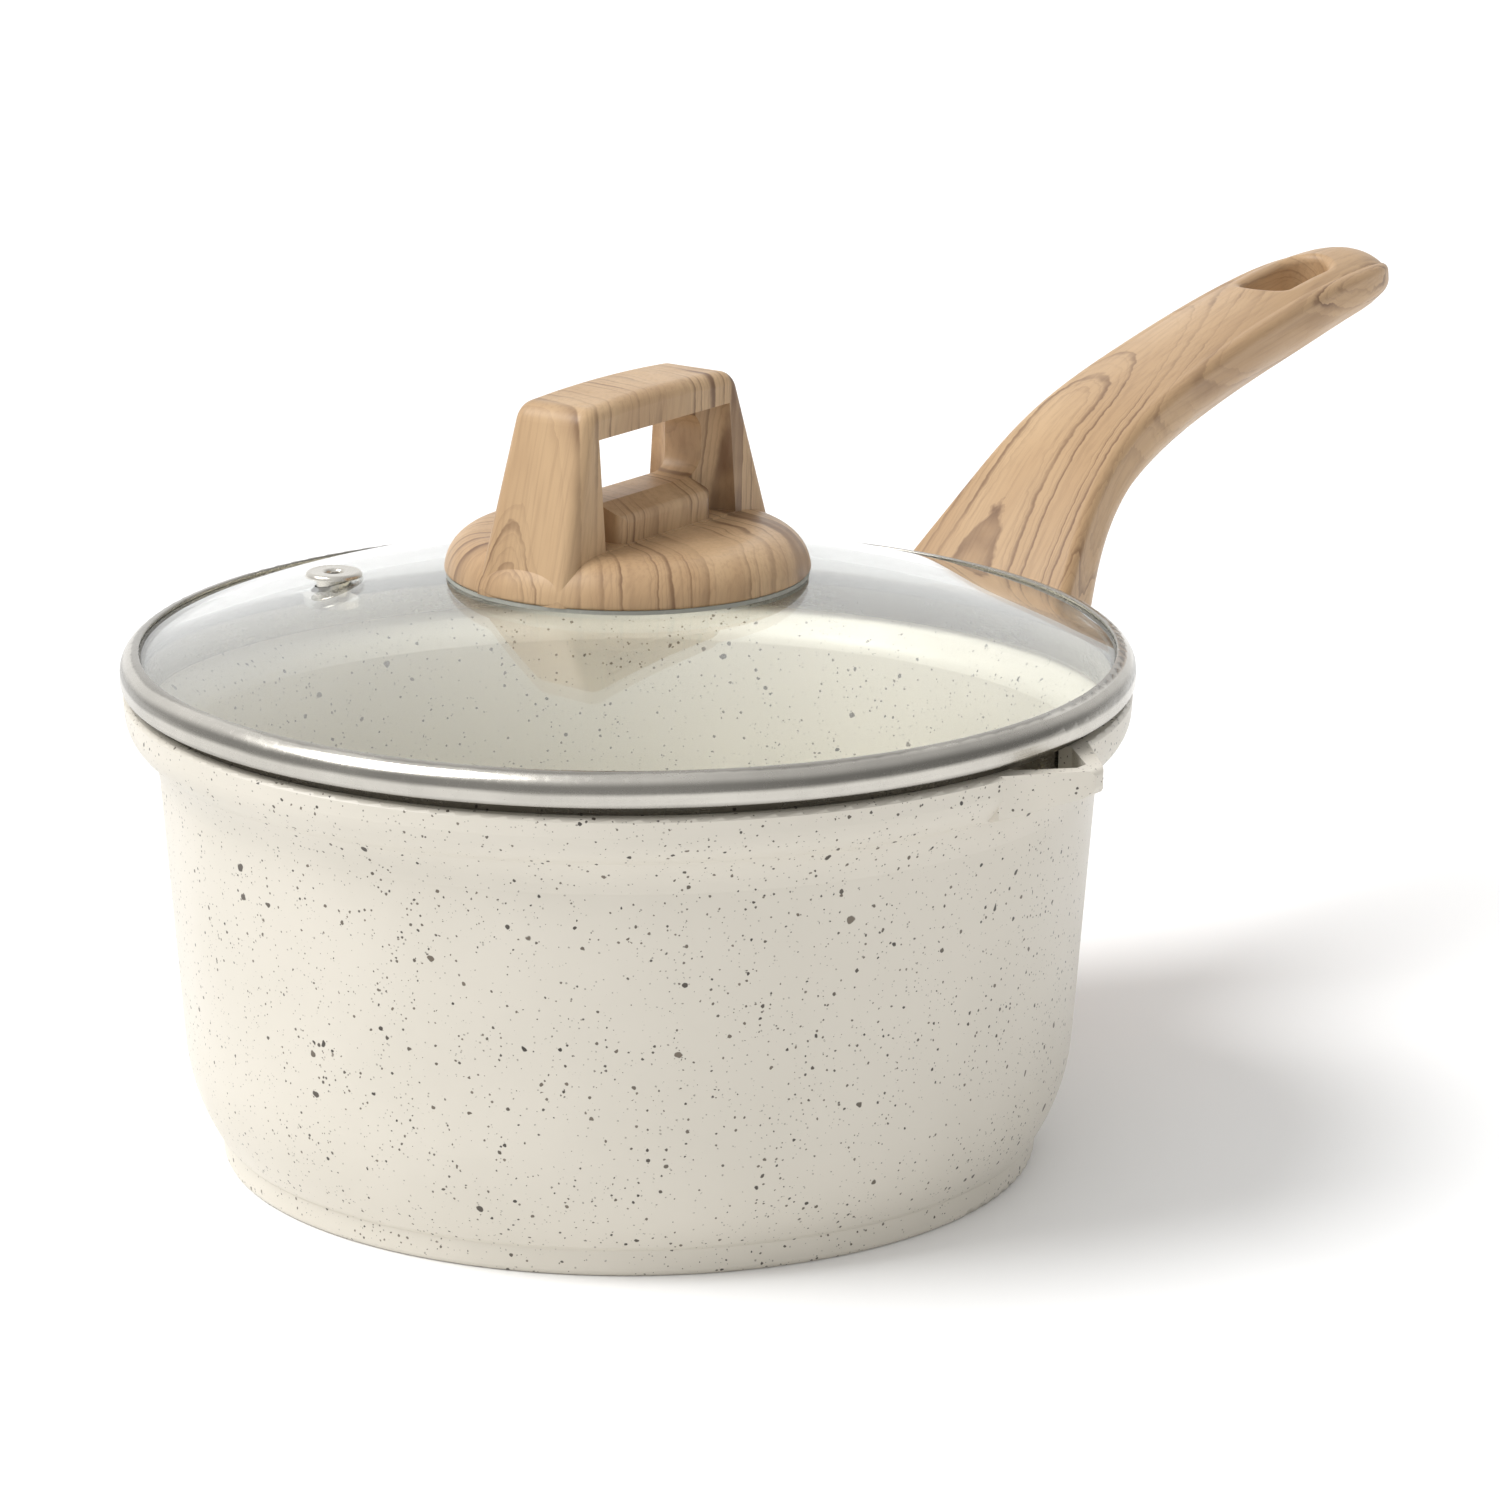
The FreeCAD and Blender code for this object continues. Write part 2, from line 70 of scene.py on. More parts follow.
# Room light: share that is left on the side away from the lamp, and the extra from behind the pan
DIM_SIDE_SHARE = 0.62
BACK_LIGHT = 0.32

# Camera: the point that it looks at, its distance, compass heading, dip, roll and sideways shift
CAMERA_TARGET = Vector((0.0, 0.0, 0.0742))
CAMERA_DISTANCE = 1.1098
CAMERA_HEADING = math.radians(53.3)
CAMERA_DIP = math.radians(15.24)
CAMERA_ROLL = math.radians(-0.12)
PAN_AXIS_SHIFT = 0.0813


# ---------------------------------------------------------------- node helpers

def node(tree, kind, inputs=None, **settings):
    """Add a shader node. Inputs are values or the sockets that feed it, by name or number."""
    made = tree.nodes.new("ShaderNode" + kind)
    for name, value in settings.items():
        setattr(made, name, value)
    for name, value in (inputs or {}).items():
        feed(tree, made.inputs[name], value)
    return made


def feed(tree, socket, value):
    """Link a socket to another one, or set its plain value."""
    if isinstance(value, bpy.types.NodeSocket):
        tree.links.new(value, socket)
    else:
        socket.default_value = value


def maths(tree, operation, *values, clamp=False):
    """Result of a Math node."""
    inputs = dict(enumerate(values))
    return node(tree, "Math", inputs, operation=operation, use_clamp=clamp).outputs[0]


def vector_maths(tree, operation, *values):
    """Vector result of a Vector Math node; the scale of a SCALE is the last value."""
    inputs = dict(enumerate(values))
    if operation == "SCALE":
        inputs = {0: values[0], "Scale": values[1]}
    return node(tree, "VectorMath", inputs, operation=operation).outputs[0]


def remap(tree, value, low, high, to_low, to_high, smooth=True):
    """Map a value's range onto another, held at both ends."""
    kind = "SMOOTHSTEP" if smooth else "LINEAR"
    inputs = {"Value": value, "From Min": low, "From Max": high, "To Min": to_low, "To Max": to_high}
    return node(tree, "MapRange", inputs, interpolation_type=kind).outputs[0]


def blend(tree, factor, first, second, kind="MIX"):
    """Mix two colours."""
    made = node(tree, "Mix", data_type="RGBA", blend_type=kind)
    feed(tree, made.inputs[0], factor)
    feed(tree, made.inputs[6], first)
    feed(tree, made.inputs[7], second)
    return made.outputs[2]


def noise(tree, vector, scale, detail=3.0, roughness=0.5):
    """Noise value around 0.5."""
    inputs = {"Vector": vector, "Scale": scale, "Detail": detail, "Roughness": roughness}
    return node(tree, "TexNoise", inputs).outputs[0]


def group_tree(name, inputs, outputs):
    """New shader group with named sockets. Returns its tree, the inputs' outputs and the output node."""
    tree = bpy.data.node_groups.new(name, "ShaderNodeTree")
    kinds = {"value": "NodeSocketFloat", "colour": "NodeSocketColor", "vector": "NodeSocketVector"}
    for label, kind in inputs:
        tree.interface.new_socket(label, in_out="INPUT", socket_type=kinds[kind])
    for label, kind in outputs:
        tree.interface.new_socket(label, in_out="OUTPUT", socket_type=kinds[kind])
    start = tree.nodes.new("NodeGroupInput")
    end = tree.nodes.new("NodeGroupOutput")
    return tree, start.outputs, end.inputs


def place(tree, group, inputs):
    """Put a node group into a tree and feed its named inputs. Returns its outputs."""
    made = tree.nodes.new("ShaderNodeGroup")
    made.node_tree = bpy.data.node_groups[group]
    for name, value in inputs.items():
        feed(tree, made.inputs[name], value)
    return made.outputs


def new_material(name):
    """Material with one Principled shader. Returns the material, tree, shader and object coordinates."""
    material = bpy.data.materials.new(name)
    material.use_nodes = True
    tree = material.node_tree
    shader = tree.nodes["Principled BSDF"]
    coordinates = tree.nodes.new("ShaderNodeTexCoord").outputs["Object"]
    return material, tree, shader, coordinates


def bump(tree, height, distance, strength=1.0):
    """Normal from a height. Distance is the height's size in metres."""
    return node(tree, "Bump", {"Height": height, "Distance": distance, "Strength": strength}).outputs[0]


# ---------------------------------------------------------------- shared effects

def speckle_group():
    """Round specks scattered through space: one in each cell, some left out, of uneven size and edge."""
    tree, given, result = group_tree(
        "Granite specks",
        [("Vector", "vector"), ("Cell", "value"), ("Radius", "value"), ("Share", "value"),
         ("Softness", "value")],
        [("Mask", "value"), ("Shade", "value")])
    scaled = vector_maths(tree, "SCALE", given["Vector"], maths(tree, "DIVIDE", 1.0, given["Cell"]))
    wander = node(tree, "TexNoise", {"Vector": scaled, "Scale": 2.4, "Detail": 2.0}).outputs["Color"]
    wander = vector_maths(tree, "SCALE", vector_maths(tree, "SUBTRACT", wander, (0.5, 0.5, 0.5)), 0.30)
    cells = node(tree, "TexVoronoi", {"Vector": vector_maths(tree, "ADD", scaled, wander), "Scale": 1.0},
                 feature="F1", voronoi_dimensions="3D")
    luck = node(tree, "SeparateColor", {0: cells.outputs["Color"]}).outputs
    size = maths(tree, "MULTIPLY_ADD", maths(tree, "POWER", luck[0], 2.2), 0.72, 0.28)
    radius = maths(tree, "MULTIPLY", size, given["Radius"])
    inner = maths(tree, "MULTIPLY", radius, maths(tree, "SUBTRACT", 1.0, given["Softness"]))
    spot = remap(tree, cells.outputs["Distance"], inner, radius, 1.0, 0.0)
    kept = maths(tree, "LESS_THAN", luck[1], given["Share"])
    tree.links.new(maths(tree, "MULTIPLY", spot, kept), result["Mask"])
    tree.links.new(luck[2], result["Shade"])


def handling_group():
    """Uneven gloss left by wiping and handling: broad smears and fine specks of dust."""
    tree, given, result = group_tree(
        "Handling marks", [("Vector", "vector"), ("Roughness", "value"), ("Amount", "value")],
        [("Roughness", "value")])
    smears = remap(tree, noise(tree, given["Vector"], 38.0, 5.0, 0.62), 0.35, 0.7, -0.5, 0.5)
    grit = remap(tree, noise(tree, given["Vector"], 900.0, 2.0, 0.5), 0.5, 0.75, 0.0, 0.6)
    marks = maths(tree, "ADD", smears, grit)
    rough = maths(tree, "MULTIPLY_ADD", marks, given["Amount"], given["Roughness"])
    tree.links.new(maths(tree, "MAXIMUM", rough, 0.0), result["Roughness"])


def edge_wear_group():
    """Where an edge has rubbed: pointed places, broken up by noise."""
    tree, given, result = group_tree(
        "Edge wear", [("Vector", "vector"), ("Amount", "value")], [("Mask", "value")])
    pointed = node(tree, "NewGeometry").outputs["Pointiness"]
    edges = remap(tree, pointed, 0.515, 0.60, 0.0, 1.0)
    broken = remap(tree, noise(tree, given["Vector"], 260.0, 4.0, 0.65), 0.42, 0.62, 0.35, 1.0)
    mask = maths(tree, "MULTIPLY", maths(tree, "MULTIPLY", edges, broken), given["Amount"])
    tree.links.new(mask, result["Mask"])


def turned_lines_group():
    """Fine lines that run round the Z axis, as left by turning and polishing a ring."""
    tree, given, result = group_tree(
        "Turned lines", [("Vector", "vector"), ("Fineness", "value")],
        [("Lines", "value"), ("Clouds", "value")])
    parts = node(tree, "SeparateXYZ", {0: given["Vector"]}).outputs
    radius = maths(tree, "SQRT", maths(tree, "ADD", maths(tree, "MULTIPLY", parts[0], parts[0]),
                                       maths(tree, "MULTIPLY", parts[1], parts[1])))
    across = node(tree, "CombineXYZ", {0: parts[0], 1: parts[1]}).outputs[0]
    around = vector_maths(tree, "NORMALIZE", across)
    across = maths(tree, "MULTIPLY", maths(tree, "ADD", radius, parts[2]), given["Fineness"])
    along = vector_maths(tree, "SCALE", around, 6.0)
    place_at = vector_maths(tree, "ADD", along, node(tree, "CombineXYZ", {2: across}).outputs[0])
    tree.links.new(noise(tree, place_at, 1.0, 4.0, 0.7), result["Lines"])
    tree.links.new(noise(tree, given["Vector"], 55.0, 4.0, 0.6), result["Clouds"])


def grip_line_group():
    """Straightens the curved grip, so that its grain runs along it: takes off its height at each x."""
    tree, given, result = group_tree("Along the grip", [("Vector", "vector")], [("Vector", "vector")])
    parts = node(tree, "SeparateXYZ", {0: given["Vector"]}).outputs
    steep = remap(tree, parts[0], GRIP_BEND_START, GRIP_BEND_END, 0.0, GRIP_BEND_RISE)
    centre = maths(tree, "MULTIPLY_ADD", parts[0], GRIP_SLOPE, steep)
    lowered = maths(tree, "SUBTRACT", parts[2], centre)
    straight = node(tree, "CombineXYZ", {0: parts[0], 1: parts[1], 2: lowered}).outputs[0]
    tree.links.new(straight, result["Vector"])


def grain_group():
    """Printed wood grain: tapering growth rings cut by the surface, dark late wood and fine streaks."""
    tree, given, result = group_tree(
        "Printed grain",
        [("Vector", "vector"), ("Ring Width", "value"), ("Wander", "value"), ("Taper", "value"),
         ("Light", "colour"), ("Middle", "colour"), ("Dark", "colour")],
        [("Colour", "colour"), ("Lines", "value"), ("Fibres", "value")])
    stretched = vector_maths(tree, "MULTIPLY", given["Vector"], (0.12, 1.0, 1.0))
    broad = node(tree, "TexNoise", {"Vector": stretched, "Scale": 48.0, "Detail": 2.0, "Roughness": 0.45})
    shift = vector_maths(tree, "SUBTRACT", broad.outputs["Color"], (0.5, 0.5, 0.5))
    bent = vector_maths(tree, "ADD", given["Vector"], vector_maths(tree, "SCALE", shift, given["Wander"]))
    ripple = node(tree, "TexNoise", {"Vector": bent, "Scale": 380.0, "Detail": 2.0, "Roughness": 0.5})
    ripple = vector_maths(tree, "SUBTRACT", ripple.outputs["Color"], (0.5, 0.5, 0.5))
    rippled = vector_maths(tree, "ADD", bent, vector_maths(tree, "SCALE", ripple, 0.0007))
    parts = node(tree, "SeparateXYZ", {0: rippled}).outputs
    squares = maths(tree, "ADD", maths(tree, "MULTIPLY", parts[1], parts[1]),
                    maths(tree, "MULTIPLY", parts[2], parts[2]))
    reach = maths(tree, "MULTIPLY_ADD", parts[0], given["Taper"], maths(tree, "SQRT", squares))
    even = maths(tree, "DIVIDE", reach, given["Ring Width"])
    uneven = node(tree, "TexNoise", {"W": maths(tree, "MULTIPLY", even, 0.45), "Scale": 1.0, "Detail": 1.0},
                  noise_dimensions="1D").outputs[0]
    rings = maths(tree, "MULTIPLY_ADD", uneven, 4.6, even)
    phase = maths(tree, "FRACT", rings)
    late = remap(tree, phase, 0.55, 0.92, 0.0, 1.0)
    late = maths(tree, "POWER", late, 2.2)
    cut = remap(tree, phase, 0.95, 1.0, 1.0, 0.0)
    ring_number = maths(tree, "FLOOR", rings)
    ring_luck = node(tree, "TexWhiteNoise", {"W": ring_number}, noise_dimensions="1D").outputs[0]
    patches = remap(tree, noise(tree, given["Vector"], 55.0, 2.0, 0.5), 0.36, 0.62, 0.30, 1.0)
    strength = maths(tree, "MULTIPLY", maths(tree, "MULTIPLY_ADD", ring_luck, 0.65, 0.35), patches)
    lines = maths(tree, "MULTIPLY", maths(tree, "MULTIPLY", late, cut), strength)
    thin = maths(tree, "FRACT", maths(tree, "MULTIPLY", rings, 3.0))
    thin = remap(tree, thin, 0.55, 1.0, 0.0, 1.0)
    fine = maths(tree, "MULTIPLY", thin, maths(tree, "MULTIPLY", patches, 0.20))
    fibre_place = vector_maths(tree, "MULTIPLY", bent, (50.0, 1300.0, 1300.0))
    fibres = remap(tree, noise(tree, fibre_place, 1.0, 3.0, 0.6), 0.42, 0.72, 0.0, 1.0)
    tone_place = vector_maths(tree, "MULTIPLY", bent, (14.0, 60.0, 60.0))
    tone = remap(tree, noise(tree, tone_place, 1.0, 3.0, 0.5), 0.3, 0.7, 0.0, 1.0)
    base = blend(tree, tone, given["Light"], given["Middle"])
    base = blend(tree, maths(tree, "MULTIPLY", fibres, 0.16), base, given["Dark"])
    base = blend(tree, fine, base, given["Dark"])
    tree.links.new(blend(tree, maths(tree, "MULTIPLY", lines, 0.85), base, given["Dark"]), result["Colour"])
    tree.links.new(maths(tree, "ADD", lines, fine, clamp=True), result["Lines"])
    tree.links.new(fibres, result["Fibres"])


def painted_roll_shading_group():
    """Painted shade and highlight of the band's roll by height: dark beside the glass, pale crown, dark
    turn, pale lower half, dark foot.
    """
    tree, given, result = group_tree("Painted roll shading", [("Vector", "vector")], [("Shade", "value")])
    parts = node(tree, "SeparateXYZ", {0: given["Vector"]}).outputs
    waves = maths(tree, "MULTIPLY_ADD", noise(tree, given["Vector"], 28.0, 2.0, 0.5), 0.0011, -0.00055)
    height = maths(tree, "ADD", parts[2], waves)
    # Painted shade at the band's foot, across its turn and at the top beside the glass; painted highlight on
    # the crown and the lower half
    foot = remap(tree, height, BAND_LOW, BAND_LOW + 0.0009, 0.45, 1.0)
    turn_low = remap(tree, height, BAND_LOW + 0.0020, BAND_LOW + 0.0028, 0.80, 0.36)
    turn_high = remap(tree, height, BAND_LOW + 0.0036, BAND_LOW + 0.0048, 0.0, 0.56)
    rim = remap(tree, height, BAND_HIGH - 0.0004, BAND_HIGH - 0.0001, 1.0, 0.55)
    shade = maths(tree, "MULTIPLY", maths(tree, "ADD", turn_low, turn_high, clamp=True), foot)
    tree.links.new(maths(tree, "MULTIPLY", shade, rim), result["Shade"])


def build_groups():
    for make in (speckle_group, handling_group, edge_wear_group, turned_lines_group, grip_line_group,
                 grain_group, painted_roll_shading_group):
        make()


# ---------------------------------------------------------------- materials

def coating_material(settings):
    """Satin cream coating with dark, grey and tan specks of three sizes over cast metal."""
    material, tree, shader, place_at = new_material("speckled_coating")
    cloud = remap(tree, noise(tree, place_at, 26.0, 4.0, 0.55), 0.3, 0.7, 0.0, 1.0)
    colour = blend(tree, cloud, (*settings.coat, 1.0), (*settings.coat_shade, 1.0))
    clusters = remap(tree, noise(tree, place_at, 120.0, 2.0, 0.5), 0.36, 0.58, 0.40, 1.0)
    height = None
    for cell, radius, share, softness, strength in SPECK_SIZES:
        filled = maths(tree, "MULTIPLY", clusters, share * settings.speckle)
        specks = place(tree, "Granite specks", {"Vector": place_at, "Cell": cell, "Radius": radius,
                                                "Share": filled, "Softness": softness})
        ink = blend(tree, specks["Shade"], (*settings.speck_dark, 1.0), (*settings.speck_light, 1.0))
        mask = maths(tree, "MULTIPLY", specks["Mask"], strength)
        colour = blend(tree, mask, colour, ink)
        height = mask if height is None else maths(tree, "MAXIMUM", height, mask)
    feed(tree, shader.inputs["Base Color"], colour)
    marks = place(tree, "Handling marks",
                  {"Vector": place_at, "Roughness": settings.roughness, "Amount": 0.07})
    feed(tree, shader.inputs["Roughness"], marks["Roughness"])
    peel = noise(tree, place_at, 620.0, 3.0, 0.55)
    relief = maths(tree, "MULTIPLY_ADD", height, -0.35, peel)
    feed(tree, shader.inputs["Normal"], bump(tree, relief, 0.00002, 0.6))
    return material


def wood_material(name, settings, along_grip, centre, turn, ring_width, wander, taper):
    """Satin moulded plastic with a printed wood grain, its rings round a line through the given centre."""
    material, tree, shader, place_at = new_material(name)
    flat = place(tree, "Along the grip", {"Vector": place_at})["Vector"] if along_grip else place_at
    local = node(tree, "Mapping", {"Vector": flat, "Location": centre, "Rotation": turn},
                 vector_type="TEXTURE").outputs[0]
    grain = place(tree, "Printed grain", {
        "Vector": local, "Ring Width": ring_width, "Wander": wander, "Taper": taper,
        "Light": (*settings.light, 1.0), "Middle": (*settings.middle, 1.0), "Dark": (*settings.dark, 1.0)})
    worn = place(tree, "Edge wear", {"Vector": place_at, "Amount": 0.16})
    colour = blend(tree, worn["Mask"], grain["Colour"], (*settings.light, 1.0))
    feed(tree, shader.inputs["Base Color"], colour)
    marks = place(tree, "Handling marks",
                  {"Vector": place_at, "Roughness": settings.roughness, "Amount": 0.10})
    feed(tree, shader.inputs["Roughness"], marks["Roughness"])
    shader.inputs["Specular IOR Level"].default_value = 0.32
    fibres = maths(tree, "MULTIPLY", grain["Fibres"], -0.3)
    relief = maths(tree, "MULTIPLY_ADD", grain["Lines"], -0.6, fibres)
    feed(tree, shader.inputs["Normal"], bump(tree, relief, 0.00004, 0.5))
    return material


def steel_material(name, colour, roughness, fineness, paint_roll_shading=False):
    """Polished steel with fine turned lines and faint clouding, and for the band painted shade and highlight
    bands across its roll.
    """
    material, tree, shader, place_at = new_material(name)
    turned = place(tree, "Turned lines", {"Vector": place_at, "Fineness": fineness})
    shade = remap(tree, turned["Clouds"], 0.3, 0.7, 0.0, 0.5)
    darker = tuple(0.72 * part for part in colour)
    tone = blend(tree, shade, (*colour, 1.0), (*darker, 1.0))
    if paint_roll_shading:
        roll = place(tree, "Painted roll shading", {"Vector": place_at})["Shade"]
        # Painted shade and highlight bands across the band's roll, mixed into the steel's colour
        tone = blend(tree, roll, (*ROLL_SHADOW, 1.0), tone)
    feed(tree, shader.inputs["Base Color"], tone)
    shader.inputs["Metallic"].default_value = 1.0
    marks = place(tree, "Handling marks", {"Vector": place_at, "Roughness": roughness, "Amount": 0.10})
    lines = maths(tree, "SUBTRACT", turned["Lines"], 0.5)
    lined = maths(tree, "MULTIPLY_ADD", lines, 0.22, marks["Roughness"])
    feed(tree, shader.inputs["Roughness"], maths(tree, "MAXIMUM", lined, 0.05))
    feed(tree, shader.inputs["Normal"], bump(tree, turned["Lines"], 0.00001, 0.6))
    return material


def glass_material(settings):
    """Clear tempered glass with a faint green tint. Lamps shine through it onto what is inside."""
    material, tree, shader, place_at = new_material("tempered_glass")
    shader.inputs["Transmission Weight"].default_value = 0.97
    shader.inputs["IOR"].default_value = 1.5
    marks = place(tree, "Handling marks", {"Vector": place_at, "Roughness": 0.0, "Amount": 0.012})
    feed(tree, shader.inputs["Roughness"], marks["Roughness"])
    tint = blend(tree, remap(tree, noise(tree, place_at, 12.0, 1.0), 0.3, 0.7, 0.0, 1.0),
                 (*settings.glass_tint, 1.0), (*settings.glass_tint_deep, 1.0))
    feed(tree, shader.inputs["Base Color"], tint)
    clear = node(tree, "BsdfTransparent", {"Color": (*settings.glass_shadow, 1.0)})
    shadow = node(tree, "LightPath").outputs["Is Shadow Ray"]
    mix = node(tree, "MixShader", {0: shadow, 1: shader.outputs[0], 2: clear.outputs[0]})
    output = tree.nodes["Material Output"]
    tree.links.new(mix.outputs[0], output.inputs["Surface"])
    return material


def rubber_material(name, colour, roughness):
    """Matte rubber with a fine moulded texture and dust."""
    material, tree, shader, place_at = new_material(name)
    dust = remap(tree, noise(tree, place_at, 700.0, 4.0, 0.7), 0.5, 0.8, 0.0, 0.5)
    lighter = tuple(min(1.0, part * 1.5 + 0.05) for part in colour)
    feed(tree, shader.inputs["Base Color"], blend(tree, dust, (*colour, 1.0), (*lighter, 1.0)))
    marks = place(tree, "Handling marks", {"Vector": place_at, "Roughness": roughness, "Amount": 0.12})
    feed(tree, shader.inputs["Roughness"], marks["Roughness"])
    feed(tree, shader.inputs["Normal"], bump(tree, noise(tree, place_at, 2500.0, 2.0), 0.00002, 0.5))
    return material


def floor_material(settings):
    """Seamless pale studio floor."""
    material, tree, shader, place_at = new_material("studio_floor")
    tone = remap(tree, noise(tree, place_at, 2.0, 2.0), 0.3, 0.7, 0.985, 1.0)
    feed(tree, shader.inputs["Base Color"], blend(tree, tone, (0.0, 0.0, 0.0, 1.0), (*settings.floor, 1.0)))
    shader.inputs["Roughness"].default_value = 0.9
    shader.inputs["Specular IOR Level"].default_value = 0.1
    return material


def dress(names, material):
    """Give CAD nodes one material."""
    for name in names:
        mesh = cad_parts[name].data
        mesh.materials.clear()
        mesh.materials.append(material)


# ---------------------------------------------------------------- settings

def colour_property(name, description, default):
    return FloatVectorProperty(name=name, description=description, subtype="COLOR", size=3,
                               min=0.0, max=1.0, default=default)


class PanSettings(bpy.types.PropertyGroup):
    coat: colour_property("Coating", "Main colour of the coating", (0.668, 0.626, 0.545))
    coat_shade: colour_property("Coating shade", "Second colour of the coating", (0.640, 0.600, 0.520))
    speck_dark: colour_property("Dark specks", "Colour of the darkest specks", (0.018, 0.013, 0.009))
    speck_light: colour_property("Light specks", "Colour of the palest specks", (0.15, 0.12, 0.088))
    speckle: FloatProperty(name="Speckle", description="Share of the speck cells that are filled",
                           default=1.0, min=0.0, max=2.0, subtype="FACTOR")
    roughness: FloatProperty(name="Roughness", description="Roughness of the coating", default=0.36,
                             min=0.0, max=1.0, subtype="FACTOR")


class WoodSettings(bpy.types.PropertyGroup):
    light: colour_property("Light wood", "Palest colour of the printed grain", (0.550, 0.375, 0.215))
    middle: colour_property("Middle wood", "Second ground colour of the grain", (0.450, 0.290, 0.158))
    dark: colour_property("Dark wood", "Colour of the grain lines", (0.125, 0.058, 0.028))
    roughness: FloatProperty(name="Roughness", description="Roughness of the print's lacquer", default=0.42,
                             min=0.0, max=1.0, subtype="FACTOR")


class LidSettings(bpy.types.PropertyGroup):
    glass_tint: colour_property("Glass tint", "Tint of the glass", (0.975, 0.985, 0.965))
    glass_tint_deep: colour_property("Deeper tint", "Tint of the deeper glass", (0.965, 0.980, 0.955))
    glass_shadow: colour_property("Lamp tint", "Tint of the light let through", (0.85, 0.86, 0.83))
    steel: colour_property("Steel", "Colour of the steel band", (0.70, 0.67, 0.61))


class StageSettings(bpy.types.PropertyGroup):
    floor: colour_property("Floor", "Colour of the floor", (0.97, 0.97, 0.97))
    lens: FloatProperty(name="Lens", description="Focal length in millimetres", default=146.76,
                        min=10.0, max=400.0)
    half_floor: FloatProperty(name="Floor size", description="Half the floor's side", default=6.0, min=1.0,
                              unit="LENGTH")
    key_power: FloatProperty(name="Key light", description="Strength of the main lamp", default=2.3, min=0.0)
    world_light: FloatProperty(name="Room light", description="Strength of the even light all round",
                               default=0.74, min=0.0)


# ---------------------------------------------------------------- operators

class SAUCEPAN_OT_pan(bpy.types.Operator):
    """Coat the pan and finish the disc under it"""
    bl_idname = "saucepan.pan"
    bl_label = "Pan"

    def execute(self, context):
        dress(["pan_body"], coating_material(context.scene.saucepan_pan))
        dress(["induction_disc"], steel_material("disc_steel", DISC_STEEL, 0.36, 900.0))
        return {"FINISHED"}


class SAUCEPAN_OT_handle(bpy.types.Operator):
    """Print the grip's grain and finish its fasteners"""
    bl_idname = "saucepan.handle"
    bl_label = "Handle"

    def execute(self, context):
        wood = wood_material("wood_print_grip", context.scene.saucepan_wood, along_grip=True,
                             centre=GRIP_GRAIN_CENTRE, turn=GRIP_GRAIN_TURN,
                             ring_width=0.0026, wander=0.003, taper=0.10)
        dress(["handle_grip"], wood)
        screw = steel_material("screw_steel", SCREW_STEEL, 0.3, 1500.0)
        dress(["handle_screw", "handle_washer", "handle_spring_washer", "knob_washer", "knob_screw"], screw)
        return {"FINISHED"}


class SAUCEPAN_OT_lid(bpy.types.Operator):
    """Finish the lid's glass, band, the black ring next to the glass, and vent"""
    bl_idname = "saucepan.lid"
    bl_label = "Lid"

    def execute(self, context):
        settings = context.scene.saucepan_lid
        dress(["lid_glass"], glass_material(settings))
        # The band's steel carries painted shade and highlight bands across its roll
        dress(["lid_band"], steel_material("band_steel", settings.steel, 0.24, 2600.0, paint_roll_shading=True))
        dress(["vent_eyelet", "vent_ring"], steel_material("vent_steel", settings.steel, 0.24, 2600.0))
        # A black matte ring between the glass and the band gives the dark line along the band's inner edge
        dress(["lid_seal"], rubber_material("seal_rubber", BLACK_RING_COLOUR, 0.6))
        return {"FINISHED"}


class SAUCEPAN_OT_knob(bpy.types.Operator):
    """Print the knob's grain and finish its gaskets and bush"""
    bl_idname = "saucepan.knob"
    bl_label = "Knob"

    def execute(self, context):
        wood = wood_material("wood_print_knob", context.scene.saucepan_wood, along_grip=False,
                             centre=KNOB_GRAIN_CENTRE, turn=KNOB_GRAIN_TURN,
                             ring_width=0.0042, wander=0.007, taper=0.20)
        dress(["knob"], wood)
        dress(["knob_gasket", "knob_under_gasket"], rubber_material("gasket_rubber", CLEAR_SILICONE, 0.55))
        dress(["knob_insert"], steel_material("insert_brass", BRASS, 0.3, 1500.0))
        return {"FINISHED"}


def add_sun(name, position, strength):
    """Large distant soft lamp that shines from a position towards the origin."""
    light = bpy.data.lights.new(name, "SUN")
    light.energy = strength
    light.angle = KEY_SPREAD
    lamp = bpy.data.objects.new(name, light)
    lamp.location = position
    lamp.rotation_euler = (-Vector(position)).to_track_quat("-Z", "Y").to_euler()
    bpy.context.scene.collection.objects.link(lamp)


def camera_axes():
    """The camera's right, up and forward directions from its heading, dip and roll."""
    forward = Vector((math.sin(CAMERA_HEADING) * math.cos(CAMERA_DIP),
                      math.cos(CAMERA_HEADING) * math.cos(CAMERA_DIP), -math.sin(CAMERA_DIP)))
    level = Vector((math.cos(CAMERA_HEADING), -math.sin(CAMERA_HEADING), 0.0))
    upright = level.cross(forward)
    right = level * math.cos(CAMERA_ROLL) + upright * math.sin(CAMERA_ROLL)
    up = upright * math.cos(CAMERA_ROLL) - level * math.sin(CAMERA_ROLL)
    return right, up, forward


def room_light(tree, background, side, away, strength):
    """Even white light that falls off on the side away from the lamp and is stronger behind the pan."""
    direction = tree.nodes.new("ShaderNodeTexCoord").outputs["Generated"]
    sideways = node(tree, "VectorMath", {0: direction, 1: side}, operation="DOT_PRODUCT").outputs["Value"]
    behind = node(tree, "VectorMath", {0: direction, 1: away}, operation="DOT_PRODUCT").outputs["Value"]
    level = remap(tree, sideways, -0.1, 0.9, strength, strength * DIM_SIDE_SHARE)
    back = remap(tree, behind, 0.25, 0.9, 0.0, BACK_LIGHT)
    background.inputs["Color"].default_value = (1.0, 1.0, 1.0, 1.0)
    feed(tree, background.inputs["Strength"], maths(tree, "ADD", level, back))


